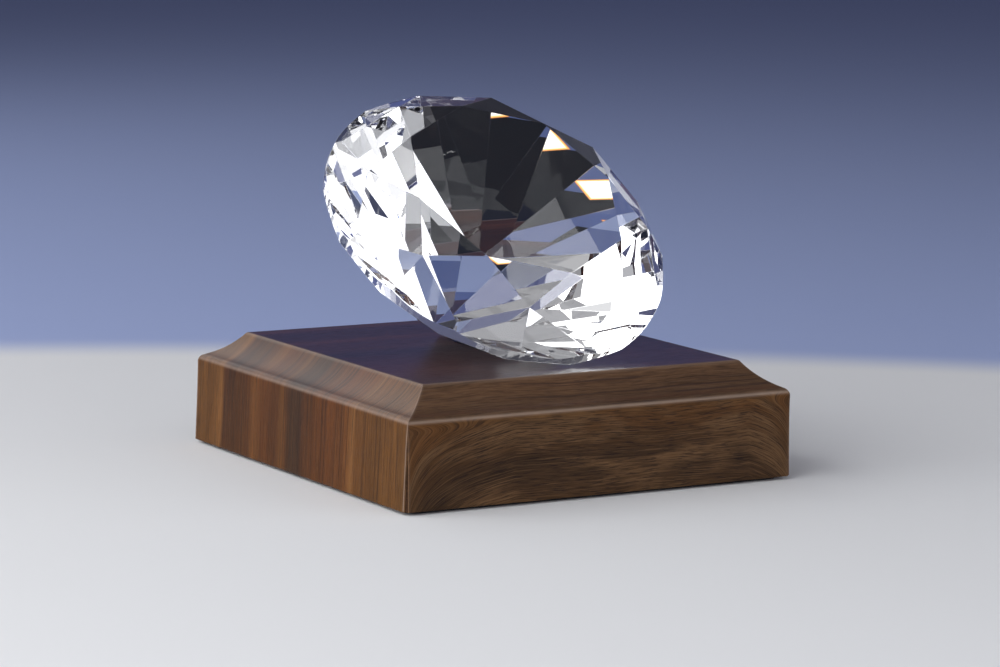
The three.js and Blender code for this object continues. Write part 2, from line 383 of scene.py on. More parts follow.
@dataclass(frozen=True)
class Streak:
    """A layer of noise that is drawn out along the grain.

    Length and width are its swells in a millimetre along and across the grain. A layer
    with a step shows only where the noise rises through it.
    """

    length: float
    width: float
    layer: float
    detail: float
    step: tuple[float, ...] = ()

    def read(self, tree: ShaderTree, along: Field, grain: Field) -> Field:
        """Reads the layer.

        Args:
            tree: The material's tree.
            along: Sheet coordinate along the grain, in millimetres.
            grain: The place across the grain, with its wander, in millimetres.

        Returns:
            The layer, from 0 to 1.
        """
        spot = tree.vector(along * self.length, grain * self.width, self.layer)
        noise = tree.noise(spot, 1.0, self.detail, 0.6)
        return noise.smooth(*self.step) if self.step else noise


@dataclass(frozen=True)
class WoodWrapFinish:
    """Wood-grain sheet, printed and embossed, with a satin lacquer.

    The mesh attribute "sheet" gives the flat sheet's own coordinates: the grain runs
    along its X, and its Y crosses the bands. Bands are given by their place across the
    grain, in millimetres from the middle of the plinth. A pair of amounts holds for the
    top and for what the folded front and back add to it. The shades multiply the print
    by the way a face looks, as painted light: painted shade on the folded ends, a painted
    cool sheen with some shade on their coves, and painted shade with a purple painted
    reflection on the level top.
    """

    name: str = "wood_grain_sheet"
    half: float = 61.0
    reach: float = 90.0
    fold: tuple[float, float] = (58.5, 63.5)
    left_fan: tuple[float, float] = (34.0, 6.5)
    right_fan: tuple[float, float] = (15.0, 4.5)
    meander: tuple[float, float] = (4.0, 1.5)
    ripple: tuple[float, float] = (0.7, 0.5)
    figure: Streak = Streak(0.014, 0.30, 0.0, 3.0)
    fibres: Streak = Streak(0.075, 2.3, 3.0, 3.0)
    threads: Streak = Streak(0.22, 4.4, 5.0, 2.0)
    patches: Streak = Streak(0.030, 0.10, 7.0, 2.0, (0.44, 0.60))
    flecks: Streak = Streak(0.17, 2.9, 11.0, 2.0, (0.53, 0.62))
    lines: Streak = Streak(0.010, 0.95, 17.0, 2.0, (0.57, 0.64))
    pale: Streak = Streak(0.045, 2.1, 23.0, 2.0, (0.55, 0.66))
    base_light: float = 0.35
    figure_light: float = 1.10
    fibre_light: tuple[float, float] = (1.0, 0.8)
    thread_light: float = 1.0
    gold_share: float = 0.9
    pale_share: tuple[float, float] = (0.16, 0.20)
    fleck_share: tuple[float, float] = (0.24, 0.44)
    line_share: tuple[float, float] = (0.55, -0.45)
    gold_colour: Colour = (0.150, 0.076, 0.024)
    pale_colour: Colour = (0.200, 0.104, 0.034)
    fleck_colour: Colour = (0.014, 0.008, 0.005)
    line_colour: Colour = (0.030, 0.013, 0.006)
    worn_colour: Colour = (0.43, 0.325, 0.255)
    # Painted light: these tints paint shade on the folded ends, a cool sheen with some shade on
    # the coves, and shade with a purple reflection on the level top.
    end_painted_shade: Colour = (0.80, 0.84, 1.20)
    cove_painted_sheen: Colour = (0.80, 1.05, 2.4)
    top_painted_shade_and_reflection: Colour = (0.46, 0.33, 0.55)
    bands: tuple[Stop, ...] = (
        (-90.0, (0.096, 0.046, 0.014)),
        (-74.0, (0.060, 0.030, 0.010)),
        (-61.0, (0.112, 0.047, 0.011)),
        (-52.0, (0.140, 0.057, 0.013)),
        (-44.0, (0.118, 0.048, 0.011)),
        (-33.0, (0.134, 0.052, 0.012)),
        (-31.0, (0.205, 0.088, 0.025)),
        (-28.5, (0.128, 0.045, 0.010)),
        (-18.0, (0.110, 0.035, 0.008)),
        (-9.0, (0.094, 0.031, 0.007)),
        (-4.0, (0.078, 0.027, 0.008)),
        (-1.5, (0.046, 0.020, 0.009)),
        (3.5, (0.050, 0.022, 0.009)),
        (6.5, (0.094, 0.034, 0.009)),
        (9.5, (0.126, 0.049, 0.012)),
        (12.0, (0.086, 0.029, 0.007)),
        (21.0, (0.102, 0.033, 0.007)),
        (25.5, (0.150, 0.056, 0.013)),
        (28.5, (0.092, 0.031, 0.007)),
        (36.0, (0.064, 0.023, 0.006)),
        (43.0, (0.072, 0.025, 0.007)),
        (45.0, (0.168, 0.070, 0.018)),
        (50.0, (0.122, 0.049, 0.011)),
        (61.0, (0.142, 0.059, 0.015)),
        (75.0, (0.084, 0.040, 0.012)),
        (90.0, (0.104, 0.050, 0.014)),
    )

    def material(self) -> Material:
        """Builds the material.

        Returns:
            Satin wood grain with colour bands, fibres, dark pores and worn edges.
        """
        tree = ShaderTree(self.name)
        sheet = tree.scaled(tree.attribute("sheet").outputs["Vector"], (1000.0, 1000.0, 1.0))
        along, across, _ = tree.axes(sheet)
        folded = abs(across).smooth(*self.fold)
        grain = self._wander(tree, along, across, folded)
        figure, fibres, threads, patches, flecks, lines, pale = (
            streak.read(tree, along, grain) for streak in (
                self.figure, self.fibres, self.threads, self.patches, self.flecks, self.lines,
                self.pale)
        )
        light = self.base_light + figure * self.figure_light
        light = light + (fibres - 0.5) * self._amount(self.fibre_light, folded)
        light = light + (threads - 0.5) * self.thread_light

        colour = tree.blend(patches * folded * self.gold_share, self._print(tree, grain),
                            self.gold_colour)
        colour = tree.blend(1.0, colour, tree.tone(light.at_least(0.2)), "MULTIPLY")
        for layer, share, added in (
            (pale, self.pale_share, self.pale_colour),
            (flecks, self.fleck_share, self.fleck_colour),
            (lines, self.line_share, self.line_colour),
        ):
            colour = tree.blend(layer * self._amount(share, folded), colour, added)

        facing = tree.node("ShaderNodeNewGeometry", {}, {}).outputs["Normal"]
        _, endward, up = tree.axes(facing)
        upper = up.smooth(0.25, 0.60)
        # Painted shade and sheen: darker folded ends, a cool painted sheen on the coves, and a
        # darker top with a purple painted reflection.
        for share, shade in (
            (folded * (1.0 - upper), self.end_painted_shade),
            (upper * abs(endward).smooth(0.25, 0.50), self.cove_painted_sheen),
            (up.smooth(0.86, 0.98), self.top_painted_shade_and_reflection),
        ):
            colour = tree.blend(share, colour, shade, "MULTIPLY")

        wear = Field(tree, tree.attribute("edge_wear").outputs["Fac"])
        rubbed = (wear * (0.45 + fibres * 0.8)).at_most(1.0)
        colour = tree.blend(rubbed * 0.68, colour, self.worn_colour)
        height = figure * 0.3 + fibres * 0.5 + threads * 0.3 - flecks * 0.4
        swell = tree.noise(tree.place(), 0.07, 2.0, 0.5)
        satin = 0.30 + (fibres - 0.5) * 0.16 + flecks * 0.08 + swell * 0.05 - rubbed * 0.05
        return tree.surface({
            "Base Color": colour,
            "Roughness": satin,
            "IOR": 1.46,
            "Specular IOR Level": 0.09,
            "Coat Weight": 0.02 + upper * 0.62,
            "Coat Roughness": 0.26,
            "Normal": tree.bump(height, 0.5, 0.00006),
        })

    @staticmethod
    def _amount(pair: tuple[float, float], folded: Field) -> Field:
        """An amount on the top, with what is added to it where the sheet is folded."""
        return pair[0] + folded * pair[1]

    def _wander(self, tree: ShaderTree, along: Field, across: Field, folded: Field) -> Field:
        """The place across the grain at a point, once the grain has wandered.

        Args:
            tree: The material's tree.
            along: Sheet coordinate along the grain, in millimetres.
            across: Sheet coordinate across the grain, in millimetres.
            folded: Whether the point is on the front or the back, from 0 to 1.

        Returns:
            The place, in millimetres.
        """
        meander = tree.noise(tree.vector(along * 0.011, across * 0.030), 1.0, 2.0, 0.5) - 0.5
        ripple = tree.noise(tree.vector(along * 0.05, across * 0.11), 1.0, 2.0, 0.5) - 0.5
        fanned = across + across.sign() * folded * self._fans(along)
        grain = fanned + meander * self._amount(self.meander, folded)
        return grain + ripple * self._amount(self.ripple, folded)

    def _print(self, tree: ShaderTree, grain: Field) -> NodeSocket:
        """The colour of the band at a place across the grain.

        Args:
            tree: The material's tree.
            grain: The place, in millimetres.

        Returns:
            The colour.
        """
        span = 2 * self.reach
        stops = [((at + self.reach) / span, colour) for at, colour in self.bands]
        return tree.ramp((grain + self.reach) / span, stops)

    def _fans(self, along: Field) -> Field:
        """How far the folded grain is dragged down near the two ends of a side.

        Args:
            along: Sheet coordinate along the grain, in millimetres.

        Returns:
            The shift across the grain, in millimetres, at most 0.
        """
        edge = self.half + 0.6
        shift = []
        for distance, fan in ((along + edge, self.left_fan), (edge - along, self.right_fan)):
            reach, pull = fan
            shift.append((distance / reach).at_least(0.02).at_most(1.0).log() * pull)
        return shift[0] + shift[1]


@dataclass(frozen=True)
class SheetEdgeFinish:
    """Cut edge of the wrap: brown backing paper under the print."""

    name: str = "sheet_cut_edge"

    def material(self) -> Material:
        """Builds the material.

        Returns:
            Dull, slightly fibrous brown paper.
        """
        tree = ShaderTree(self.name)
        fibre = tree.noise(tree.scaled(tree.place(), (3.0, 3.0, 0.8)), 1.0, 4.0, 0.6)
        soil = tree.noise(tree.place(), 0.25, 2.0, 0.5).smooth(0.4, 0.7)
        colour = tree.ramp(fibre, ((0.25, (0.090, 0.042, 0.016)), (0.55, (0.170, 0.082, 0.032)),
                                   (0.8, (0.260, 0.140, 0.062))))
        colour = tree.blend(soil * 0.6, colour, (0.030, 0.014, 0.007))
        return tree.surface({
            "Base Color": colour,
            "Roughness": 0.62 + fibre * 0.2,
            "Normal": tree.bump(fibre, 0.6, 0.00005),
        })


@dataclass(frozen=True)
class FibreboardFinish:
    """Fibreboard of the core, dark brown all through, which shows between the flaps."""

    name: str = "dark_fibreboard"

    def material(self) -> Material:
        """Builds the material.

        Returns:
            Matt brown board with felted fibres and darker specks.
        """
        tree = ShaderTree(self.name)
        felt = tree.noise(tree.place(), 1.4, 5.0, 0.7, 1.2)
        layers = tree.noise(tree.scaled(tree.place(), (0.3, 0.3, 2.2)), 1.0, 2.0, 0.5)
        specks = tree.noise(tree.place(), 3.2, 1.0, 0.5).smooth(0.62, 0.72)
        colour = tree.ramp(felt * 0.65 + layers * 0.35, (
            (0.30, (0.030, 0.010, 0.003)), (0.50, (0.062, 0.022, 0.006)),
            (0.72, (0.110, 0.046, 0.014))))
        colour = tree.blend(specks * 0.6, colour, (0.012, 0.006, 0.004))
        return tree.surface({
            "Base Color": colour,
            "Roughness": 0.72 + felt * 0.2,
            "Normal": tree.bump(felt, 0.8, 0.00012),
        })


@dataclass(frozen=True)
class FoamFinish:
    """Black foam sheet of the foot pad, with a fine closed-cell skin."""

    name: str = "black_foam"

    def material(self) -> Material:
        """Builds the material.

        Returns:
            Near-black, dull foam with cells and light scuffs.
        """
        tree = ShaderTree(self.name)
        cells = tree.node("ShaderNodeTexVoronoi", {"feature": "F1"},
                          {"Vector": tree.place(), "Scale": 2.4})
        cell = Field(tree, cells.outputs["Distance"])
        scuff = tree.noise(tree.scaled(tree.place(), (0.05, 0.3, 1.0)), 1.0, 4.0, 0.6)
        scuff = scuff.smooth(0.55, 0.75)
        colour = tree.ramp(cell, ((0.0, (0.006, 0.006, 0.007)), (0.5, (0.014, 0.014, 0.015)),
                                  (1.0, (0.024, 0.024, 0.025))))
        colour = tree.blend(scuff * 0.3, colour, (0.045, 0.043, 0.042))
        return tree.surface({
            "Base Color": colour,
            "Roughness": 0.78 + cell * 0.14,
            "Normal": tree.bump(cell, 0.5, 0.0001),
        })


@dataclass(frozen=True)
class GlueFilmFinish:
    """Acrylic film that holds the foot pad, milky white with brushed streaks."""

    name: str = "acrylic_film"

    def material(self) -> Material:
        """Builds the material.

        Returns:
            A soft milky film.
        """
        tree = ShaderTree(self.name)
        streak = tree.noise(tree.scaled(tree.place(), (0.08, 1.1, 1.0)), 1.0, 3.0, 0.6)
        colour = tree.ramp(streak, ((0.3, (0.30, 0.29, 0.27)), (0.7, (0.46, 0.45, 0.42))))
        return tree.surface({
            "Base Color": colour,
            "Roughness": 0.35 + streak * 0.25,
            "Normal": tree.bump(streak, 0.3, 0.00003),
        })


@dataclass(frozen=True)
class ClearGlueFinish:
    """Clear cured adhesive under the crystal."""

    name: str = "clear_adhesive"
    index: float = 1.49

    def material(self) -> Material:
        """Builds the material.

        Returns:
            Clear resin with a gently uneven skin.
        """
        tree = ShaderTree(self.name)
        skin = tree.noise(tree.place(), 0.8, 2.0, 0.5)
        return tree.surface({
            "Base Color": (0.97, 0.955, 0.93, 1.0),
            "Roughness": 0.03 + skin * 0.07,
            "Transmission Weight": 1.0,
            "IOR": self.index,
            "Normal": tree.bump(skin, 0.4, 0.0001),
        })


@dataclass(frozen=True)
class FloorFinish:
    """Matt pale paper of the floor, which cools into a blue grey away from the award."""

    name: str = "studio_paper"
    near: Colour = (0.84, 0.85, 0.86)
    far: Colour = (0.38, 0.46, 0.74)
    centre: tuple[float, float] = (-413.0, -685.0)
    fade_start: float = 975.0
    fade_end: float = 1020.0

    def material(self) -> Material:
        """Builds the material.

        Returns:
            Plain matt paper.
        """
        tree = ShaderTree(self.name)
        place = tree.place()
        x, y, _ = tree.axes(place)
        x, y = x - self.centre[0], y - self.centre[1]
        fade = (x * x + y * y).root().smooth(self.fade_start, self.fade_end)
        mottle = tree.noise(place, 0.01, 2.0, 0.5)
        colour = tree.blend(fade, self.near, self.far)
        colour = tree.blend(mottle * 0.04, colour, (0.6, 0.6, 0.6))
        return tree.surface({"Base Color": colour, "Roughness": 0.7, "Specular IOR Level": 0.1})


@dataclass(frozen=True)
class CardFinish:
    """Cloth or paper of a card that the crystal sees but the plinth does not.

    Its colour paints a dark, grey or blue reflection in the crystal, and its glow a bright one.
    """

    name: str
    colour: Colour
    glow: float = 0.0

    def material(self) -> Material:
        """Builds the material.

        Returns:
            Matt cloth, with an even glow if it has one; the glow paints a bright reflection.
        """
        tree = ShaderTree(self.name)
        nap = tree.noise(tree.place(), 0.4, 2.0, 0.5)
        colour = tree.blend(nap * 0.2, self.colour, tuple(value * 1.3 for value in self.colour))
        return tree.surface({
            "Base Color": colour,
            "Roughness": 0.95,
            "Specular IOR Level": 0.0,
            "Emission Color": colour,
            "Emission Strength": self.glow,
        })


@dataclass(frozen=True)
class GlintFinish:
    """A bright card, white in the middle and warm at its rim.

    It paints a glint in the crystal; the warm rim is a painted colour fringe of dispersion.
    """

    name: str = "painted_glint_card"
    centre: tuple[float, float] = (65.8, 175.0)
    half_sizes: tuple[float, float] = (7.0, 11.0)
    glow: float = 1.6
    # Painted glint and colour fringe: white in the middle, orange and deep red at the rim in place
    # of dispersion.
    tones: tuple[Stop, ...] = (
        (0.0, (1.0, 1.0, 1.0)),
        (0.78, (1.0, 0.97, 0.90)),
        (0.89, (1.0, 0.55, 0.16)),
        (1.0, (0.35, 0.10, 0.02)),
    )

    def material(self) -> Material:
        """Builds the material.

        Returns:
            A painted glint that turns from white to a painted orange fringe towards the card's
            edges.
        """
        tree = ShaderTree(self.name)
        x, y, _ = tree.axes(tree.place())
        wide = abs(x - self.centre[0]) / self.half_sizes[0]
        deep = abs(y - self.centre[1]) / self.half_sizes[1]
        return tree.surface({
            "Base Color": (0.02, 0.02, 0.02, 1.0),
            "Roughness": 0.9,
            "Emission Color": tree.ramp(wide.at_least(deep), self.tones),
            "Emission Strength": self.glow,
        })


# ---------------------------------------------------------------- mesh helpers


def mesh_object(name: str, bm: BMesh, materials: Iterable[Material]) -> Object:
    """Makes an object of a bmesh and frees the bmesh.

    Args:
        name: The object's name.
        bm: Its mesh.
        materials: Its material slots, in order.

    Returns:
        The object, linked to the scene.
    """
    mesh = bpy.data.meshes.new(name)
    bm.to_mesh(mesh)
    bm.free()
    for material in materials:
        mesh.materials.append(material)
    made = bpy.data.objects.new(name, mesh)
    bpy.context.scene.collection.objects.link(made)
    return made


def apply_modifiers(piece: Object) -> None:
    """Applies every modifier of a piece to its mesh.

    Args:
        piece: The piece.
    """
    depsgraph = bpy.context.evaluated_depsgraph_get()
    mesh = bpy.data.meshes.new_from_object(piece.evaluated_get(depsgraph))
    piece.modifiers.clear()
    piece.data = mesh


def close_up(bm: BMesh) -> None:
    """Joins a mesh's seams, fills its open ends and turns its faces outward.

    Args:
        bm: The mesh.
    """
    bmesh.ops.remove_doubles(bm, verts=bm.verts, dist=MERGE)
    bmesh.ops.holes_fill(bm, edges=[e for e in bm.edges if e.is_boundary], sides=0)
    bmesh.ops.recalc_face_normals(bm, faces=bm.faces)


def outward(azimuth: float, elevation: float) -> Vector:
    """The direction from the award to a place round it, by its two angles in degrees."""
    turn, lift = math.radians(azimuth), math.radians(elevation)
    return Vector((math.sin(turn) * math.cos(lift), -math.cos(turn) * math.cos(lift),
                   math.sin(lift)))


def add_quads(bm: BMesh, rows: Sequence[Sequence[Vector]]) -> None:
    """Adds a patch of quads between rows of points.

    Args:
        bm: The mesh that gets the patch.
        rows: Rows of equal length.
    """
    made = [[bm.verts.new(p) for p in row] for row in rows]
    for low, high in zip(made, made[1:]):
        for i in range(len(low) - 1):
            bm.faces.new((low[i], low[i + 1], high[i + 1], high[i]))


def quadratic(start: Vector, control: Vector, end: Vector, steps: int) -> list[Vector]:
    """Points on a quadratic curve, without its first one.

    Args:
        start: The curve's start.
        control: Its control point.
        end: Its end.
        steps: How many points.

    Returns:
        The points, the end included.
    """
    points = []
    for i in range(1, steps + 1):
        t = i / steps
        points.append(start * (1 - t) ** 2 + control * (2 * t * (1 - t)) + end * t**2)
    return points


# ---------------------------------------------------------------- crystal


@dataclass
class Crystal:
    """The round brilliant that lies on one of its lower facets.

    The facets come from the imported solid, so each stays flat and in its place; what is
    added is the fine ground arris along each edge.
    """

    node: str = "crystal_gem"
    arris: float = 0.07 * MM
    flat: float = math.radians(0.1)
    sharp: float = math.radians(7.0)
    finish: CrystalFinish = field(default_factory=CrystalFinish)

    def build(self) -> Object:
        """Builds and dresses the crystal.

        Returns:
            The crystal, in place of its CAD node.
        """
        bm = self._facets()
        self._grind(bm)
        piece = mesh_object("crystal_brilliant", bm, [self.finish.material()])
        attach(piece, "root")
        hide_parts(self.node)
        return piece

    def _facets(self) -> BMesh:
        """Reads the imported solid's facets.

        Returns:
            A mesh in which each facet is one face.
        """
        bm = bmesh.new()
        bm.from_mesh(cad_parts[self.node].data)
        bmesh.ops.remove_doubles(bm, verts=bm.verts, dist=MERGE)
        bmesh.ops.dissolve_limit(
            bm, angle_limit=self.flat, verts=bm.verts, edges=bm.edges, delimit=set()
        )
        bmesh.ops.recalc_face_normals(bm, faces=bm.faces)
        return bm

    def _grind(self, bm: BMesh) -> None:
        """Takes a fine flat off each sharp edge and marks it as an arris.

        Args:
            bm: The mesh of whole facets.
        """
        layer = bm.faces.layers.float.new("arris")
        edges = [e for e in bm.edges if e.is_manifold and e.calc_face_angle() > self.sharp]
        result = bmesh.ops.bevel(
            bm, geom=edges, offset=self.arris, offset_type="OFFSET", segments=1,
            profile=0.5, affect="EDGES", clamp_overlap=True,
        )
        for face in result["faces"]:
            face[layer] = 1.0
        for face in bm.faces:
            face.smooth = False


@dataclass
class GemBond:
    """Clear adhesive between the crystal's seat and the plinth, with a low bead."""

    node: str = "gem_bond"
    finish: ClearGlueFinish = field(default_factory=ClearGlueFinish)
    clearance: float = 0.02 * MM
    corner: float = 1.5 * MM
    corner_steps: int = 5
    bead: tuple[tuple[float, float], ...] = (
        (0.0, 0.15 * MM), (0.35, 0.0), (0.75, 0.0), (1.0, 0.12 * MM),
    )

    def build(self) -> Object:
        """Builds and dresses the adhesive film.

        Returns:
            The film, in place of its CAD node.
        """
        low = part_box(self.node)[0]
        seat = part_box("crystal_gem")[0].z
        outline = self._outline(low.z)
        middle = sum(outline, Vector()) / len(outline)
        rings = []
        for share, spread in self.bead:
            height = low.z + (seat - self.clearance - low.z) * share
            rings.append([self._spread(p, middle, spread, height) for p in outline])
        bm = bmesh.new()
        add_quads(bm, [ring + ring[:1] for ring in rings])
        close_up(bm)
        piece = mesh_object("crystal_seat_glue", bm, [self.finish.material()])
        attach(piece, "root")
        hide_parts(self.node)
        return piece

    def _outline(self, floor: float) -> list[Vector]:
        """Corners of the film's kite outline, in order round it.

        Args:
            floor: The height of the film's lower face.

        Returns:
            The corners, with rounded ones in between.
        """
        bm = bmesh.new()
        bm.from_mesh(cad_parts[self.node].data)
        corners = {(round(v.co.x, 6), round(v.co.y, 6)) for v in bm.verts}
        bm.free()
        points = [Vector((x, y, floor)) for x, y in corners]
        middle = sum(points, Vector()) / len(points)
        points.sort(key=lambda p: math.atan2(p.y - middle.y, p.x - middle.x))
        outline = []
        for i, corner in enumerate(points):
            before, after = points[i - 1], points[(i + 1) % len(points)]
            start = corner + (before - corner).normalized() * self.corner
            end = corner + (after - corner).normalized() * self.corner
            outline += [start, *quadratic(start, corner, end, self.corner_steps)]
        return outline

    @staticmethod
    def _spread(point: Vector, middle: Vector, distance: float, height: float) -> Vector:
        """A point moved outward from the middle and set at a height."""
        away = Vector((point.x - middle.x, point.y - middle.y, 0.0)).normalized()
        return Vector((point.x, point.y, height)) + away * distance


# ---------------------------------------------------------------- plinth


class Side(Enum):
    """The plinth's four sides, by the turn that brings the front side onto each."""

    FRONT = 0
    RIGHT = 1
    BACK = 2
    LEFT = 3


@dataclass
class PlinthWrap:
    """The wood-grain sheet that covers the plinth: top, coves and four flaps.

    The flaps are folded down the sides and end a little short of each corner, so a
    slot that widens towards the foot shows the core.
    """

    node: str = "base_wrap"
    draft: float = 0.8 * MM
    shoulder_height: float = 23.5 * MM
    cove_run: float = 10.4 * MM
    cove_sag: float = 0.8 * MM
    shoulder_round: float = 1.2 * MM
    rim_round: float = 0.4 * MM
    thickness: float = 0.5 * MM
    seam_drop: float = 1.6 * MM
    seam_widths: tuple[float, float, float, float] = (1.3 * MM, 1.0 * MM, 1.1 * MM, 1.0 * MM)
    seam_power: float = 0.6
    crease_round: float = 0.16 * MM
    crease_angle: float = math.radians(24.0)
    side_rows: int = 22
    shoulder_rows: int = 7
    cove_rows: int = 14
    rim_rows: int = 5
    across: int = 72
    shoulder_wear: tuple[float, float] = (0.95, 0.48 * MM)
    rim_wear: tuple[float, float] = (0.5, 0.45 * MM)
    mitre_wear: tuple[float, float] = (0.3, 0.4 * MM)
    side_flap_wear: tuple[float, float] = (0.95, 0.38 * MM)
    end_flap_wear: tuple[float, float] = (0.12, 0.38 * MM)
    wrap: WoodWrapFinish = field(default_factory=WoodWrapFinish)
    edge: SheetEdgeFinish = field(default_factory=SheetEdgeFinish)

    def __post_init__(self) -> None:
        """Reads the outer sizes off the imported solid."""
        low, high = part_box(self.node)
        self.foot_z, self.top_z = low.z, high.z
        self.foot_half = high.x
        self.shoulder_half = self.foot_half - self.draft
        self.top_half = self.shoulder_half - self.cove_run
        self.shoulder_z = self.foot_z + self.shoulder_height
        self.seam_top = self.shoulder_z - self.seam_drop

    def build(self) -> Object:
        """Builds and dresses the sheet.

        Returns:
            The sheet, in place of its CAD node.
        """
        bm = bmesh.new()
        rows = self._profile()
        for side in Side:
            add_quads(bm, [self._row(point, side) for point in rows])
        shares = self._shares()
        inner = rows[-1].x
        add_quads(bm, [
            [Vector((x * inner, y * inner, self.top_z)) for x in shares] for y in shares
        ])
        bmesh.ops.remove_doubles(bm, verts=bm.verts, dist=MERGE)
        bmesh.ops.recalc_face_normals(bm, faces=bm.faces)
        if max(bm.faces, key=lambda f: f.calc_center_median().z).normal.z < 0:
            bmesh.ops.reverse_faces(bm, faces=bm.faces)
        piece = mesh_object("plinth_wood_wrap", bm, [self.wrap.material(), self.edge.material()])
        self._thicken(piece)
        self._write_attributes(piece.data)
        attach(piece, "root")
        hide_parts(self.node)
        return piece

    def _profile(self) -> list[Vector]:
        """Half section from the foot to the top's edge: x outward, y unused, z up.

        Returns:
            Its points, each a row of the mesh.
        """
        foot = Vector((self.foot_half, 0.0, self.foot_z))
        shoulder = Vector((self.shoulder_half, 0.0, self.shoulder_z))
        rim = Vector((self.top_half, 0.0, self.top_z))
        side_end = shoulder + (foot - shoulder).normalized() * self.shoulder_round
        cove_start = shoulder + (rim - shoulder).normalized() * self.shoulder_round
        cove_end = rim + (shoulder - rim).normalized() * self.rim_round
        top_start = rim - Vector((self.rim_round, 0.0, 0.0))
        slope = (rim - shoulder).normalized()
        inward = Vector((-slope.z, 0.0, slope.x))
        hollow = (cove_start + cove_end) / 2 + inward * 2 * self.cove_sag
        points = [foot]
        for i in range(1, self.side_rows + 1):
            points.append(foot.lerp(side_end, i / self.side_rows))
        points += quadratic(side_end, shoulder, cove_start, self.shoulder_rows)
        points += quadratic(cove_start, hollow, cove_end, self.cove_rows)
        points += quadratic(cove_end, rim, top_start, self.rim_rows)
        return points

    def _shares(self) -> list[float]:
        """Places across a side from -1 to 1, closest together near its ends."""
        return [math.sin(math.pi * (i / self.across - 0.5)) for i in range(self.across + 1)]

    def _seam(self, height: float, corner: int) -> float:
        """How far a flap's edge is short of the corner at a height.

        Args:
            height: The height.
            corner: Which corner: that between this side and the next one.

        Returns:
            The distance, which grows quickly at first and then slowly to the foot.
        """
        if height >= self.seam_top:
            return 0.0
        share = (self.seam_top - height) / (self.seam_top - self.foot_z)
        return self.seam_widths[corner % 4] * share**self.seam_power

    def _row(self, point: Vector, side: Side) -> list[Vector]:
        """One row of points across a side.

        Args:
            point: The row's point on the half section.
            side: Which side it is on.

        Returns:
            The points, from the side's left end to its right end.
        """
        turn = Matrix.Rotation(side.value * math.pi / 2, 3, "Z")
        reaches = [point.x - self._seam(point.z, side.value + step) for step in (-1, 0)]
        return [
            turn @ Vector((share * reaches[share > 0], -point.x, point.z))
            for share in self._shares()
        ]

    def _thicken(self, piece: Object) -> None:
        """Gives the sheet its thickness and eases its creases and cut edges.

        Args:
            piece: The sheet as a bare surface.
        """
        solid = piece.modifiers.new("thickness", "SOLIDIFY")
        solid.thickness = self.thickness
        solid.offset = -1.0
        solid.use_even_offset = True
        solid.material_offset_rim = 1
        ease = piece.modifiers.new("ease", "BEVEL")
        ease.width = self.crease_round
        ease.segments = 2
        ease.limit_method = "ANGLE"
        ease.angle_limit = self.crease_angle
        apply_modifiers(piece)
        for polygon in piece.data.polygons:
            polygon.use_smooth = True

    def _write_attributes(self, mesh: Mesh) -> None:
        """Writes the sheet's own coordinates and the wear of its edges.

        Args:
            mesh: The finished mesh.
        """
        sheet = mesh.attributes.new("sheet", "FLOAT_VECTOR", "CORNER")
        for polygon in mesh.polygons:
            centre = polygon.center
            for loop in polygon.loop_indices:
                point = mesh.vertices[mesh.loops[loop].vertex_index].co
                drop = max(0.0, self.shoulder_z - point.z)
                x, y = point.x, point.y
                if abs(centre.x) > abs(centre.y):
                    x += math.copysign(drop, centre.x)
                else:
                    y += math.copysign(drop, centre.y)
                sheet.data[loop].vector = (x, y, 0.0)
        wear = mesh.attributes.new("edge_wear", "FLOAT", "POINT")
        for vertex in mesh.vertices:
            wear.data[vertex.index].value = self._wear(vertex.co)

    def _wear(self, point: Vector) -> float:
        """How worn the sheet is at a point, from 0 to 1.

        Args:
            point: A point on the sheet.

        Returns:
            The wear: strong on the shoulder, lighter on the rim and the mitres.
        """
        half = max(abs(point.x), abs(point.y))
        lesser = min(abs(point.x), abs(point.y))
        shoulder = math.hypot(half - self.shoulder_half, point.z - self.shoulder_z)
        rim = math.hypot(half - self.top_half, point.z - self.top_z)
        marks = [(shoulder, self.shoulder_wear), (rim, self.rim_wear)]
        if point.z <= self.shoulder_z:
            end = half - lesser - self._seam(point.z, self._corner(point))
            on_side = abs(point.x) > abs(point.y)
            marks.append((end, self.side_flap_wear if on_side else self.end_flap_wear))
        elif half > self.top_half:
            marks.append((half - lesser, self.mitre_wear))
        return max(top * math.exp(-((distance / reach) ** 2)) for distance, (top, reach) in marks)

    @staticmethod
    def _corner(point: Vector) -> int:
        """The number of the corner nearest to a point, as _seam counts them."""
        if point.x < 0:
            return 2 if point.y > 0 else 3
        return 1 if point.y > 0 else 0


@dataclass
class PlinthCore:
    """The board inside the wrap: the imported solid, in its own finish."""

    node: str = "base_core"
    finish: FibreboardFinish = field(default_factory=FibreboardFinish)

    def build(self) -> Object:
        """Dresses the core.

        Returns:
            The CAD node's object.
        """
        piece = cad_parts[self.node]
        piece.data.materials.clear()
        piece.data.materials.append(self.finish.material())
        return piece


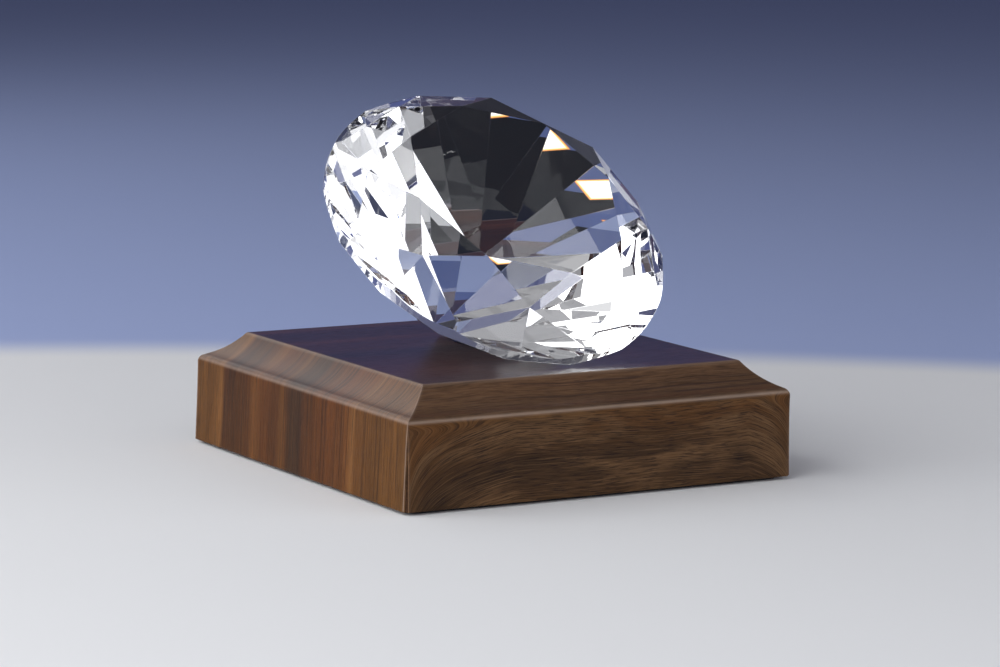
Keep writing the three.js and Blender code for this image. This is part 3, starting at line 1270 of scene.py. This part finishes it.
@dataclass
class FootPad:
    """The thin foam pad under the plinth, with soft edges, and its adhesive film."""

    node: str = "base_pad"
    film_node: str = "pad_adhesive"
    corner: float = 3.0 * MM
    corner_steps: int = 10
    edge: float = 0.28 * MM
    edge_steps: int = 4
    foam: FoamFinish = field(default_factory=FoamFinish)
    film: GlueFilmFinish = field(default_factory=GlueFilmFinish)

    def build(self) -> list[Object]:
        """Builds the pad and dresses its film.

        Returns:
            The pad, which stands for its CAD node, and the film's CAD object.
        """
        low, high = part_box(self.node)
        levels = []
        for i in range(self.edge_steps + 1):
            angle = i / self.edge_steps * math.pi / 2
            level = low.z + self.edge * (1 - math.cos(angle))
            levels.append((self.edge * (1 - math.sin(angle)), level))
        for i in range(self.edge_steps + 1):
            angle = i / self.edge_steps * math.pi / 2
            level = high.z - self.edge * (1 - math.sin(angle))
            levels.append((self.edge * (1 - math.cos(angle)), level))
        bm = bmesh.new()
        add_quads(bm, [self._ring(high.x - inset, height) for inset, height in levels])
        close_up(bm)
        pad = mesh_object("foot_pad_foam", bm, [self.foam.material()])
        for polygon in pad.data.polygons:
            polygon.use_smooth = len(polygon.vertices) == 4
        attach(pad, "root")
        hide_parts(self.node)
        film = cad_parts[self.film_node]
        film.data.materials.clear()
        film.data.materials.append(self.film.material())
        return [pad, film]

    def _ring(self, half: float, height: float) -> list[Vector]:
        """A square ring with rounded corners, closed on itself.

        Args:
            half: Half its width.
            height: Its height.

        Returns:
            Its points.
        """
        inner = half - self.corner
        ring = []
        for quarter in range(4):
            start = quarter * math.pi / 2
            centre = Vector((math.cos(start + math.pi / 4), math.sin(start + math.pi / 4), 0.0))
            centre = centre * (inner * math.sqrt(2))
            for i in range(self.corner_steps + 1):
                angle = start + i / self.corner_steps * math.pi / 2
                point = centre + Vector((math.cos(angle), math.sin(angle), 0.0)) * self.corner
                ring.append(Vector((point.x, point.y, height)))
        return ring + ring[:1]


# ---------------------------------------------------------------- studio


@dataclass(frozen=True)
class Softbox:
    """A rectangular lamp that faces the award.

    Its place is an azimuth and an elevation in degrees and a distance; its size is a
    width and a height; its power is in watts.
    """

    name: str
    place: tuple[float, float, float]
    size: tuple[float, float]
    power: float

    def build(self, target: Vector) -> Object:
        """Sets up the lamp.

        Args:
            target: The point that it faces.

        Returns:
            The lamp.
        """
        azimuth, elevation, distance = self.place
        back = outward(azimuth, elevation)
        lamp = bpy.data.lights.new(self.name, "AREA")
        lamp.shape = "RECTANGLE"
        lamp.size, lamp.size_y = self.size
        lamp.energy = self.power
        made = bpy.data.objects.new(self.name, lamp)
        made.location = target + back * distance
        made.rotation_euler = back.to_track_quat("Z", "Y").to_euler()
        made.visible_camera = False
        bpy.context.scene.collection.objects.link(made)
        return made


@dataclass(frozen=True)
class FloorCard:
    """A card on the floor that paints a reflection in the crystal.

    Its extent is given across and away from the viewpoint, in millimetres.
    """

    name: str
    across: tuple[float, float]
    depth: tuple[float, float]
    colour: Colour
    glow: float = 0.0


@dataclass
class Studio:
    """A pale floor, soft lamps on both sides of the viewpoint and cards on the floor.

    The cards are seen only through the crystal and paint its dark, grey, blue and bright
    reflections.
    """

    floor_radius: float = 4.0
    floor_rings: int = 12
    floor_sectors: int = 48
    heading: float = -31.1
    card_lift: float = 0.4 * MM
    glint_lift: float = 0.7 * MM
    sky: tuple[Stop, ...] = (
        (0.0, (0.08, 0.10, 0.26)),
        (0.25, (0.09, 0.10, 0.20)),
        (0.50, (0.08, 0.08, 0.10)),
        (1.0, (0.05, 0.05, 0.065)),
    )
    aim: tuple[float, float, float] = (0.0, 0.0, 0.05)
    paper: FloorFinish = field(default_factory=FloorFinish)
    spark: GlintFinish = field(default_factory=GlintFinish)
    # Painted reflections: these cards, seen only through the crystal, darken, grey or blue its
    # facets, and the glowing one brightens them.
    cards: tuple[FloorCard, ...] = (
        FloorCard("studio_flag", (-50.0, 22.0), (-20.0, 178.0), (0.018, 0.020, 0.026)),
        FloorCard("studio_grey_card", (22.0, 95.0), (30.0, 150.0), (0.10, 0.10, 0.11)),
        FloorCard("studio_blue_card", (-118.0, -50.0), (115.0, 262.0), (0.137, 0.180, 0.390)),
        FloorCard("studio_far_card", (-50.0, 60.0), (178.0, 262.0), (0.137, 0.180, 0.390)),
        FloorCard("studio_side_card", (150.0, 800.0), (-650.0, 135.0), (0.85, 0.85, 0.86), 0.6),
    )
    lamps: tuple[Softbox, ...] = (
        Softbox("left_softbox", (-86.0, 29.0, 1.0), (1.62, 0.78), 12.6),
        Softbox("right_softbox", (28.0, 18.0, 1.0), (1.70, 0.58), 4.8),
        Softbox("top_softbox", (-72.0, 60.0, 1.0), (0.80, 0.46), 0.29),
        Softbox("front_softbox", (-28.0, 43.0, 1.0), (0.62, 0.36), 0.32),
        Softbox("back_softbox", (-162.0, 33.0, 1.1), (0.95, 0.55), 1.8),
    )

    def build(self) -> list[Object]:
        """Builds the floor, the cards, the lamps and the ambient light.

        Returns:
            The floor, the cards and the lamps.
        """
        made = [self._floor(), self._glint()] + [self._floor_card(card) for card in self.cards]
        made += [lamp.build(Vector(self.aim)) for lamp in self.lamps]
        self._ambient()
        return made

    def _floor(self) -> Object:
        """Builds the paper under the award.

        Returns:
            A round sheet.
        """
        turns = [i / self.floor_sectors * 2 * math.pi for i in range(self.floor_sectors + 1)]
        rows = []
        for ring in range(self.floor_rings + 1):
            radius = self.floor_radius * (ring / self.floor_rings) ** 2
            rows.append([Vector((radius * math.cos(t), radius * math.sin(t), 0.0)) for t in turns])
        bm = bmesh.new()
        add_quads(bm, rows)
        bmesh.ops.remove_doubles(bm, verts=bm.verts, dist=MERGE)
        return mesh_object("studio_floor", bm, [self.paper.material()])

    def _floor_card(self, card: FloorCard) -> Object:
        """Lays out one card, its depth straight away from the viewpoint.

        Args:
            card: The card's sizes and colour.

        Returns:
            The card.
        """
        turn = Matrix.Rotation(math.radians(self.heading), 3, "Z")
        rows = [
            [turn @ Vector((x * MM, y * MM, self.card_lift)) for x in card.across]
            for y in card.depth
        ]
        finish = CardFinish(card.name + "_cloth", card.colour, card.glow)
        return self._card(card.name, rows, finish.material())

    def _glint(self) -> Object:
        """Lays out the small bright card whose glint shows in the crystal's table.

        Returns:
            The card.
        """
        x, y = (value * MM for value in self.spark.centre)
        wide, deep = (value * MM for value in self.spark.half_sizes)
        rows = [
            [Vector((x + i * wide, y + j * deep, self.glint_lift)) for i in (-1, 1)]
            for j in (-1, 1)
        ]
        return self._card("studio_glint", rows, self.spark.material())

    @staticmethod
    def _card(name: str, rows: Sequence[Sequence[Vector]], finish: Material) -> Object:
        """A flat card that only the light through the crystal meets; it paints a reflection there.

        Args:
            name: Its name.
            rows: Its corners.
            finish: Its material.

        Returns:
            The card.
        """
        bm = bmesh.new()
        add_quads(bm, rows)
        card = mesh_object(name, bm, [finish])
        card.visible_camera = False
        card.visible_diffuse = False
        card.visible_glossy = False
        card.visible_shadow = False
        return card

    def _ambient(self) -> None:
        """Lights the studio dimly from all round, cool near the horizon."""
        tree = ShaderTree("studio_ambient", world=True)
        _, _, up = tree.axes(tree.node("ShaderNodeTexCoord", {}, {}).outputs["Generated"])
        sky = tree.node("ShaderNodeBackground", {}, {"Color": tree.ramp(up, self.sky)})
        tree.node("ShaderNodeOutputWorld", {}, {0: sky.outputs[0]})
        bpy.context.scene.world = tree.owner


@dataclass
class Viewpoint:
    """The camera, level with the crystal and a little to the left of the front."""

    azimuth: float = -31.123
    elevation: float = 8.636
    roll: float = 1.0592
    distance: float = 1138.8 * MM
    target: tuple[float, float, float] = (14.21 * MM, 17.82 * MM, 32.43 * MM)
    lens: float = 144.32
    sensor: float = 36.0
    clip: tuple[float, float] = (0.01, 20.0)

    def build(self) -> Object:
        """Sets up the camera and makes it the scene's.

        Returns:
            The camera.
        """
        back = outward(self.azimuth, self.elevation)
        right = (-back).cross(Vector((0.0, 0.0, 1.0))).normalized()
        up = right.cross(-back)
        lean = math.radians(self.roll)
        across = right * math.cos(lean) + up * math.sin(lean)
        above = up * math.cos(lean) - right * math.sin(lean)
        data = bpy.data.cameras.new("viewpoint")
        data.lens = self.lens
        data.sensor_width = self.sensor
        data.sensor_fit = "HORIZONTAL"
        data.clip_start, data.clip_end = self.clip
        camera = bpy.data.objects.new("viewpoint", data)
        camera.matrix_world = Matrix((
            (across.x, above.x, back.x, 0.0),
            (across.y, above.y, back.y, 0.0),
            (across.z, above.z, back.z, 0.0),
            (0.0, 0.0, 0.0, 1.0),
        ))
        camera.location = Vector(self.target) + back * self.distance
        bpy.context.scene.collection.objects.link(camera)
        bpy.context.scene.camera = camera
        return camera


@dataclass(frozen=True)
class Optics:
    """How far light is followed through the crystal, and how tones are shown."""

    bounces: int = 32
    transform: str = "Standard"

    def apply(self) -> None:
        """Sets the scene's light paths and view transform."""
        scene = bpy.context.scene
        scene.cycles.max_bounces = self.bounces
        scene.cycles.transmission_bounces = self.bounces
        scene.cycles.glossy_bounces = self.bounces // 2
        scene.cycles.use_denoising = True
        scene.view_settings.view_transform = self.transform
        scene.view_settings.look = "None"


# ---------------------------------------------------------------- main


def report(title: str, pieces: Sequence[Object]) -> None:
    """Logs the pieces of one sub-assembly.

    Args:
        title: The sub-assembly's name.
        pieces: Its pieces.
    """
    for piece in pieces:
        faces = len(piece.data.polygons) if piece.type == "MESH" else 0
        LOG.info("%s: %s, %d faces", title, piece.name, faces)


def main() -> None:
    """Builds the award and its studio."""
    logging.basicConfig(level=logging.INFO, format="%(message)s")
    report("viewpoint", [Viewpoint().build()])
    report("crystal", [Crystal().build()])
    report("crystal seat", [GemBond().build()])
    report("wrap", [PlinthWrap().build()])
    report("core", [PlinthCore().build()])
    report("foot", FootPad().build())
    report("studio", Studio().build())
    Optics().apply()


if __name__ == "__main__":
    main()
